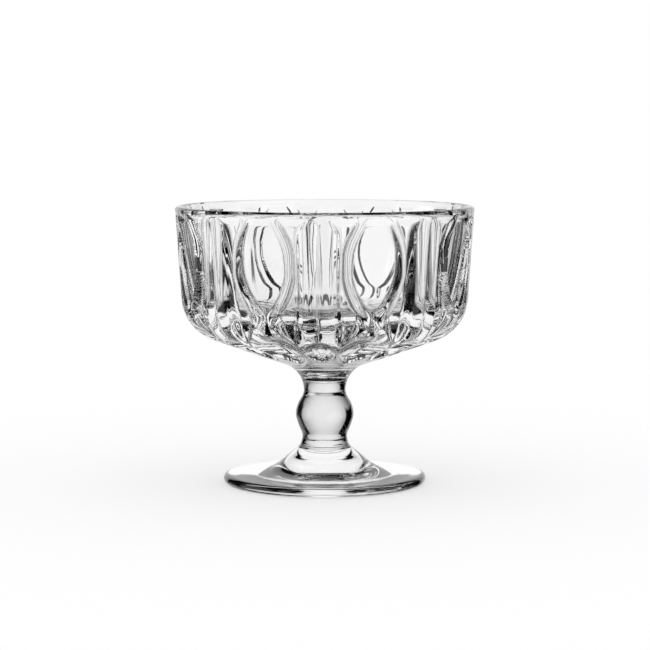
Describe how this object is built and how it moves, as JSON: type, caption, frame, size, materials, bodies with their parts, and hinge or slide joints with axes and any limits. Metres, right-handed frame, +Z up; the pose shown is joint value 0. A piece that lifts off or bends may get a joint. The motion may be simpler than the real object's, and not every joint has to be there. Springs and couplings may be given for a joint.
{
  "type": "parfait glass",
  "caption": "Footed pressed-glass dessert bowl with moulded relief columns, a ball-knop stem and a round trumpet foot.",
  "frame": {"origin": "middle of the surface that the foot rests on, on the glass's axis", "axes": "+Z up the glass's axis to the rim; -Y through the middle of one relief column of the bowl"},
  "size_m": [0.1, 0.1, 0.093],
  "materials": {
    "bowl_glass": "fire-polished clear pressed glass with a moulded relief",
    "stem_glass": "fire-polished clear solid glass",
    "foot_glass": "fire-polished clear pressed glass"
  },
  "bodies": {
    "root": {"bowl": "bowl_glass", "stem": "stem_glass", "foot": "foot_glass"}
  },
  "joints": []
}
